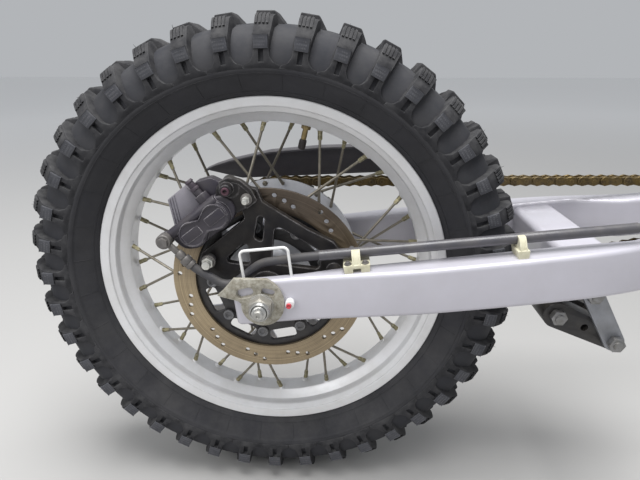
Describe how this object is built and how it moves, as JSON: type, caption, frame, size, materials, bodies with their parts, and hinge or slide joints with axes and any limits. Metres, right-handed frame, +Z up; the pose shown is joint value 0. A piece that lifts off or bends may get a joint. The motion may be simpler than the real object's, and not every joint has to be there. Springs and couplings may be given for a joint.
{
  "type": "motorcycle rear swingarm with wheel",
  "caption": "Rear end of a dual sport motorcycle: box swingarm, wire-spoked wheel with knobbly tyre, drilled disc and caliper, sprocket and chain, snail cam adjusters and link rods.",
  "frame": {"origin": "middle of the swingarm's pivot bore, on the machine's middle plane", "axes": "+X forward along the machine, +Y to its left along the pivot bore, +Z up with the machine on its wheels"},
  "size_m": [0.9374, 0.285, 0.6538],
  "materials": {
    "tyre": "black rubber, dusty on the lugs",
    "rim": "polished, with drawn lines round it",
    "spoke": "dull zinc with a little brake dust",
    "nipple": "plated, worn to the brass",
    "hub": "satin cast",
    "bearing": "ground",
    "disc": "tan heat colour, swept clean by the pads",
    "carrier": "black paint, dusty",
    "bolt": "zinc",
    "sprocket": "dark, greasy at the teeth",
    "chain": "gold brown, oiled and dusty",
    "arm": "pale lilac grey paint over cast and box section",
    "bracket": "black, cast, dusty",
    "caliper": "dark grey, cast",
    "pad": "friction block on a steel plate",
    "pin": "zinc, with rubber boots",
    "cam": "dirty beige grey",
    "axle": "turned, zinc plated",
    "stop": "white cap over a pin",
    "hose": "black, smooth",
    "pipe": "black sleeve",
    "clip": "cream moulding",
    "hoop": "white coated wire",
    "guard": "black moulding",
    "slider": "black rubbing strip",
    "link": "bead blasted",
    "rocker": "dark, forged"
  },
  "bodies": {
    "swingarm": {"left_arm": "arm", "right_arm": "arm", "left_tail": "arm", "right_tail": "arm", "left_pivot_lug": "arm", "right_pivot_lug": "arm", "bridge": "arm", "pivot_collars": "axle", "snail_cam_right": "cam", "snail_cam_left": "cam", "cam_stop_pins": "stop", "axle": "axle", "axle_nut": "axle", "axle_spacers": "axle", "chain": "chain", "chain_slider": "slider", "chain_guard": "guard", "caliper_body": "caliper", "brake_pads": "pad", "bleeder": "pin", "caliper_bracket": "bracket", "slide_pins": "pin", "brake_hose": "hose", "hose_guard_pipe": "pipe", "hose_fittings": "axle", "hose_clips": "clip", "tail_hoop": "hoop", "link_rods": "link", "rocker": "rocker", "link_bolts": "bolt", "link_lug": "arm"},
    "wheel": {"tyre": "tyre", "spokes_right": "spoke", "spokes_left": "spoke", "nipples": "nipple", "rim": "rim", "hub": "hub", "wheel_bearings": "bearing", "valve_stem": "hose", "brake_disc": "disc", "disc_carrier": "carrier", "carrier_bolts": "bolt", "sprocket": "sprocket", "cush_drum": "hub", "sprocket_bolts": "bolt"}
  },
  "joints": [
    {"name": "wheel_turn", "type": "hinge", "parent": "swingarm", "child": "wheel", "pos_m": [-0.556, 0, -0.062], "axis": [0, 1, 0], "continuous": true}
  ]
}
